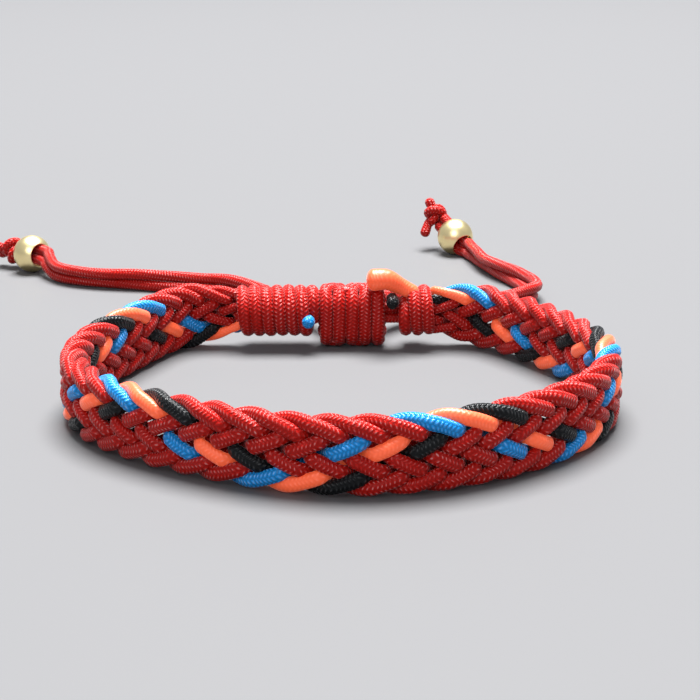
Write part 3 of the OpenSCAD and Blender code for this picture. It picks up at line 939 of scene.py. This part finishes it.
class BRACELET_OT_stage(bpy.types.Operator):
    """Makes the camera, the floor and the lights"""

    bl_idname = "bracelet.stage"
    bl_label = "Make Stage"

    def execute(self, context):
        stage = context.scene.bracelet_stage
        camera = bpy.data.objects.new("Camera", bpy.data.cameras.new("Camera"))
        context.scene.collection.objects.link(camera)
        camera.data.lens = stage.lens
        camera.data.sensor_width = 36
        camera.data.sensor_fit = "HORIZONTAL"
        camera.data.clip_start = 0.01
        camera.data.clip_end = 20
        right = np.array([1.0, 0, 0])
        up = np.array([0, math.sin(stage.pitch), math.cos(stage.pitch)])
        back = np.cross(right, up)
        c, s = math.cos(stage.roll), math.sin(stage.roll)
        turned = np.column_stack([c * right + s * up, c * up - s * right, back])
        place = Matrix(turned.tolist()).to_4x4()
        place.translation = (stage.camera_x, stage.camera_y, stage.camera_z)
        camera.matrix_world = place
        context.scene.camera = camera
        context.scene.view_settings.view_transform = "Standard"
        self.add_floor(context, stage)
        self.add_lights(context)
        return {"FINISHED"}

    def add_floor(self, context, stage):
        """A wide, plain pale floor."""
        half = 3.0
        corners = [(-half, -half, 0), (half, -half, 0), (half, half, 0), (-half, half, 0)]
        mesh = bpy.data.meshes.new("Floor")
        mesh.from_pydata(corners, [], [(0, 1, 2, 3)])
        floor = bpy.data.objects.new("Floor", mesh)
        context.scene.collection.objects.link(floor)
        material = bpy.data.materials.new("Pale Floor")
        material.use_nodes = True
        shader = material.node_tree.nodes["Principled BSDF"]
        shader.inputs["Base Color"].default_value = (*stage.floor, 1)
        shader.inputs["Roughness"].default_value = 0.6
        shader.inputs["Specular IOR Level"].default_value = 0.2
        mesh.materials.append(material)

    def add_lights(self, context):
        """A large soft light above and behind, a weaker one in front, and an even surround."""
        for name, place, size, power in (
            ("Top Light", (0.05, 0.6, 1.9), 1.3, 200.0),
            ("Front Light", (-0.12, -0.55, 0.42), 0.5, 1.7),
        ):
            light = bpy.data.lights.new(name, "AREA")
            light.shape, light.size, light.energy = "DISK", size, power
            lamp = bpy.data.objects.new(name, light)
            context.scene.collection.objects.link(lamp)
            lamp.location = place
            target = (0, 0.01, 0)
            aim = np.subtract(target, place)
            lamp.rotation_mode = "QUATERNION"
            lamp.rotation_quaternion = Vector(aim).to_track_quat("-Z", "Y")
        world = bpy.data.worlds.new("Surround")
        world.use_nodes = True
        world.node_tree.nodes["Background"].inputs["Color"].default_value = (0.9, 0.93, 1.0, 1)
        world.node_tree.nodes["Background"].inputs["Strength"].default_value = 0.5
        context.scene.world = world


class BRACELET_OT_tails(bpy.types.Operator):
    """Lays the two loose tails, with their beads and end knots"""

    bl_idname = "bracelet.tails"
    bl_label = "Make Tails"

    def execute(self, context):
        band, sheath = sizes()
        for side, route, seed in (("left", TAIL_LEFT, 31), ("right", TAIL_RIGHT, 37)):
            tubes = tail_tubes(route, band, sheath, seed)
            tail = cord_piece(f"tail_cords_{side}", tubes, "red", f"tail_{side}")
            tubes = end_knot_tubes(route, KNOT_TIPS[side], sheath, seed + 3)
            knot = cord_piece(f"overhand_knot_{side}", tubes, "red", f"end_knot_{side}")
            bead = self.add_bead(side, np.subtract(route[-1], route[-2]))
            path, arc = tail_centre(route)
        return {"FINISHED"}

    def add_bead(self, side, axis):
        """A drilled bead in place of its node, along its tail."""
        node, sides = f"bead_{side}", 96
        outline = bead_outline(node_size(node)[2] / 2, BEAD_BORE)
        gold = finish("Polished Gold")
        bead = lathe_piece(f"gold_bead_{side}", node_middle(node), axis, outline, sides, gold)
        hand_in(bead, node)
        return bead


class BRACELET_OT_plait(bpy.types.Operator):
    """Plaits the nine cords round the loop"""

    bl_idname = "bracelet.plait"
    bl_label = "Plait Cords"

    def execute(self, context):
        band, sheath = sizes()
        names = ["blue", "orange", "black"] + [f"red_{i}" for i in range(1, CORDS - 2)]
        for number, name in enumerate(names):
            colour_name = name.split("_")[0]
            relief = (SMOOTH_RELIEF if colour_name == "orange" else 1) * sheath.relief
            tube = plait_cord(band, sheath, number, relief)
            cord_piece(f"plait_cord_{name}", [tube], colour_name, f"strand_{name}")
        return {"FINISHED"}


class BRACELET_OT_closure(bpy.types.Operator):
    """Makes the whipped ends, the sliding knot, the ties and the cut ends"""

    bl_idname = "bracelet.closure"
    bl_label = "Make Closure"

    def execute(self, context):
        band, sheath = sizes()
        for side, seed in (("left", 2), ("right", 5)):
            tubes = whipping_tubes(f"whipping_{side}", band, sheath, seed)
            cord_piece(f"wound_end_{side}", tubes, "red", f"whipping_{side}")
            tubes = tie_tubes(f"tie_{side}", sheath, seed + 60)
            cord_piece(f"tie_cords_{side}", tubes, "red", f"tie_{side}")
        cord_piece("bar_knot", knot_tubes(band, sheath), "red", "sliding_knot")
        for name in ("blue", "black"):
            self.add_short_stub(name, band.cord / 2, sheath)
        self.add_orange_stub(band.cord / 2, sheath)
        return {"FINISHED"}

    def add_short_stub(self, name, radius, sheath):
        """A cut end that runs almost straight from the back to the front of its node's box."""
        low, high = node_corners(f"stub_{name}")
        root, end = (low + high) / 2, (low + high) / 2
        root[1], end[1] = high[1] - radius, low[1] + radius
        bend = (root + end) / 2 + [0.05 * MM, 0, 0]
        slim = 0.92 * radius
        tube = stub_tube([root, bend, end], slim, radius, sheath, 70)
        cord_piece(f"cut_end_{name}", [tube], name, f"stub_{name}")

    def add_orange_stub(self, radius, sheath):
        """The orange cord's thick smooth end, which rises to the left of its node's box."""
        low, high = node_corners("stub_orange")
        tip = 1.5 * MM
        end = np.array([low[0] + 0.85 * tip, low[1] + tip, high[2] - 0.95 * tip])
        root = np.array([high[0] - 0.2 * MM, high[1] - radius, low[2] + 0.8 * radius])
        up_from_root, level_to_end = [-1.4 * MM, -0.1 * MM, 0.7 * MM], [1.6 * MM, 0.1 * MM, 0]
        route = [root, root + up_from_root, end + level_to_end, end]
        thick, smooth = 1.2 * radius, 0.01 * MM
        tube = stub_tube(route, thick, tip, sheath, 71, swell=3.9, flat=0.9, end=0.75, relief=smooth)
        cord_piece("cut_end_orange", [tube], "orange", "stub_orange")


class BRACELET_PT_panel(bpy.types.Panel):
    """Lists the bracelet's sizes and operators"""

    bl_label = "Friendship Bracelet"
    bl_space_type = "VIEW_3D"
    bl_region_type = "UI"
    bl_category = "Bracelet"

    def draw(self, context):
        for group_name in GROUPS:
            group = getattr(context.scene, group_name)
            box = self.layout.box()
            for name in group.__annotations__:
                box.prop(group, name)
        for operator in OPERATORS:
            self.layout.operator(operator.bl_idname)


GROUPS = {
    "bracelet_band": BandSizes,
    "bracelet_sheath": SheathSizes,
    "bracelet_colours": CordColours,
    "bracelet_stage": StageSizes,
}
OPERATORS = [BRACELET_OT_stage, BRACELET_OT_tails, BRACELET_OT_plait, BRACELET_OT_closure]


def register():
    for name, group in GROUPS.items():
        bpy.utils.register_class(group)
        setattr(bpy.types.Scene, name, bpy.props.PointerProperty(type=group))
    for operator in OPERATORS:
        bpy.utils.register_class(operator)
    bpy.utils.register_class(BRACELET_PT_panel)


def unregister():
    bpy.utils.unregister_class(BRACELET_PT_panel)
    for operator in reversed(OPERATORS):
        bpy.utils.unregister_class(operator)
    for name, group in reversed(GROUPS.items()):
        delattr(bpy.types.Scene, name)
        bpy.utils.unregister_class(group)


def main():
    """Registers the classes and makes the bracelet."""
    register()
    bpy.ops.bracelet.stage()
    bpy.ops.bracelet.tails()
    bpy.ops.bracelet.plait()
    bpy.ops.bracelet.closure()


if __name__ == "__main__":
    main()
